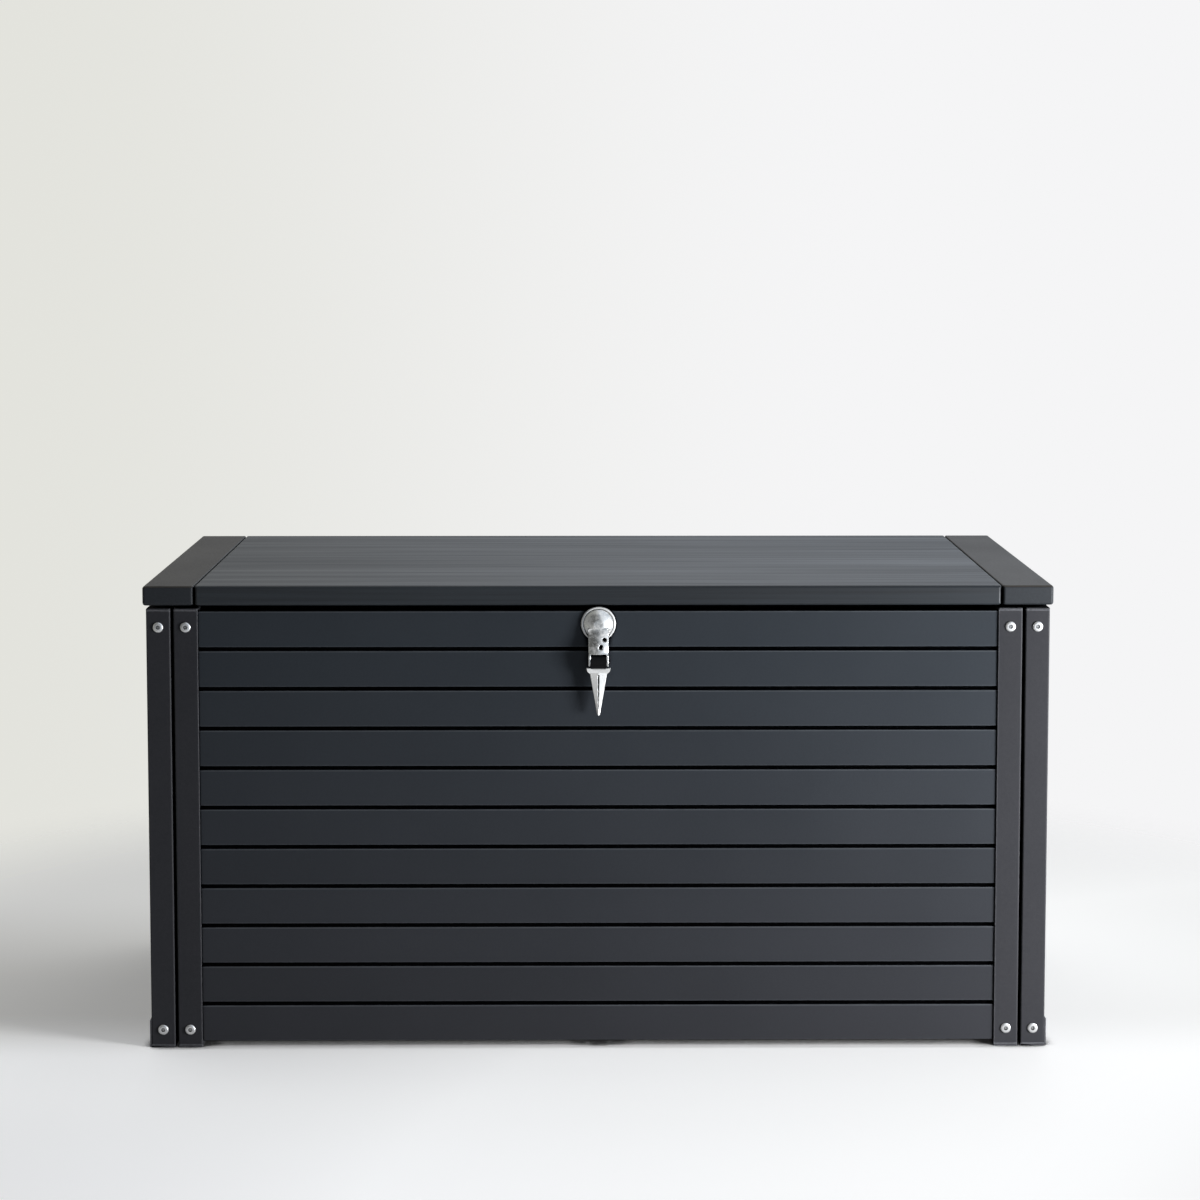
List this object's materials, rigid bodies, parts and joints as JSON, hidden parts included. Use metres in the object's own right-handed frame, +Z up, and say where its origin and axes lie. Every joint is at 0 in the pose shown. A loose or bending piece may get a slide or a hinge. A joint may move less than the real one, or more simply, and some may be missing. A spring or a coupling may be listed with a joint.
{
  "type": "garden storage chest",
  "caption": "Low slatted storage chest with square corner posts, a flat hinged lid held open by struts and a drop latch on the front.",
  "frame": {"origin": "on the floor, under the middle of the chest", "axes": "+X to the right seen from the front, +Y from the front to the hinges at the back, +Z up"},
  "size_m": [1.2, 0.6251, 0.62],
  "materials": {
    "coated_frame": "matte",
    "coated_slats": "satin",
    "lid_board": "satin",
    "bright_latch": "polished",
    "bright_screws": "polished",
    "black_plastic": "matte",
    "buffer_rubber": "matte",
    "zinc_steel": "satin",
    "inner_frame": "matte",
    "floor_board": "matte",
    "strut_black": "satin",
    "strut_bright": "polished"
  },
  "bodies": {
    "chest": {"back_left_leg": "coated_frame", "back_left_stile": "coated_frame", "back_right_leg": "coated_frame", "back_right_stile": "coated_frame", "back_slats": "coated_slats", "back_top_rail": "inner_frame", "battens": "inner_frame", "body_screws": "zinc_steel", "bottom_rails": "inner_frame", "corner_brackets": "inner_frame", "cover_strips": "inner_frame", "floor_bearers": "inner_frame", "floor_panel": "floor_board", "frame_screws": "bright_screws", "front_left_leg": "coated_frame", "front_left_stile": "coated_frame", "front_right_leg": "coated_frame", "front_right_stile": "coated_frame", "front_slat_01": "coated_slats", "front_slat_02": "coated_slats", "front_slat_03": "coated_slats", "front_slat_04": "coated_slats", "front_slat_05": "coated_slats", "front_slat_06": "coated_slats", "front_slat_07": "coated_slats", "front_slat_08": "coated_slats", "front_slat_09": "coated_slats", "front_slat_10": "coated_slats", "front_slat_11": "coated_slats", "front_top_rail": "inner_frame", "hinge_body_leaves": "zinc_steel", "hinge_pins": "zinc_steel", "hinge_rail": "inner_frame", "latch_rosette": "bright_latch", "left_slats": "coated_slats", "leg_feet": "coated_frame", "lid_buffers": "buffer_rubber", "post_caps": "coated_frame", "right_slats": "coated_slats", "side_top_rails": "inner_frame", "stile_feet": "coated_frame", "strut_wall_brackets": "zinc_steel"},
    "lid": {"lid_panel": "lid_board", "lid_end_left": "coated_frame", "lid_end_right": "coated_frame", "lid_bars": "inner_frame", "lid_screws": "zinc_steel", "hinge_lid_leaves": "zinc_steel", "lid_keeper": "zinc_steel", "strut_lid_brackets": "zinc_steel"},
    "latch": {"latch_handle": "bright_latch", "latch_pivot_pin": "black_plastic", "latch_cam": "zinc_steel", "latch_nut_and_washer": "zinc_steel"},
    "lever": {"latch_lever": "bright_latch", "latch_barrel": "black_plastic"},
    "tube_left": {"strut_tube_left": "strut_black"},
    "tube_right": {"strut_tube_right": "strut_black"},
    "rod_left": {"strut_rod_left": "strut_bright"},
    "rod_right": {"strut_rod_right": "strut_bright"}
  },
  "joints": [
    {"name": "lid", "type": "hinge", "parent": "chest", "child": "lid", "pos_m": [0, 0.3085, 0.592], "axis": [-1, 0, 0], "range_deg": [0, 80]},
    {"name": "latch_turn", "type": "hinge", "parent": "chest", "child": "latch", "pos_m": [0, -0.2893, 0.569], "axis": [0, 1, 0], "range_deg": [0, 90]},
    {"name": "lever_lift", "type": "hinge", "parent": "latch", "child": "lever", "pos_m": [0, -0.3038, 0.521], "axis": [-1, 0, 0], "range_deg": [0, 90]},
    {"name": "strut_swing_left", "type": "hinge", "parent": "chest", "child": "tube_left", "pos_m": [-0.533, 0.0062, 0.372], "axis": [1, 0, 0], "range_deg": [0, 4]},
    {"name": "strut_slide_left", "type": "slide", "parent": "tube_left", "child": "rod_left", "axis": [0, 0.7377, 0.6751], "range_m": [0, 0.0946]},
    {"name": "strut_swing_right", "type": "hinge", "parent": "chest", "child": "tube_right", "pos_m": [0.533, 0.0062, 0.372], "axis": [1, 0, 0], "range_deg": [0, 4]},
    {"name": "strut_slide_right", "type": "slide", "parent": "tube_right", "child": "rod_right", "axis": [0, 0.7377, 0.6751], "range_m": [0, 0.0946]}
  ],
  "couplings": [
    {"joint": "strut_swing_left", "follows": "lid", "ratio": 0.049744},
    {"joint": "strut_slide_left", "follows": "lid", "m_per_rad": 0.067703},
    {"joint": "strut_swing_right", "follows": "lid", "ratio": 0.049744},
    {"joint": "strut_slide_right", "follows": "lid", "m_per_rad": 0.067703}
  ]
}
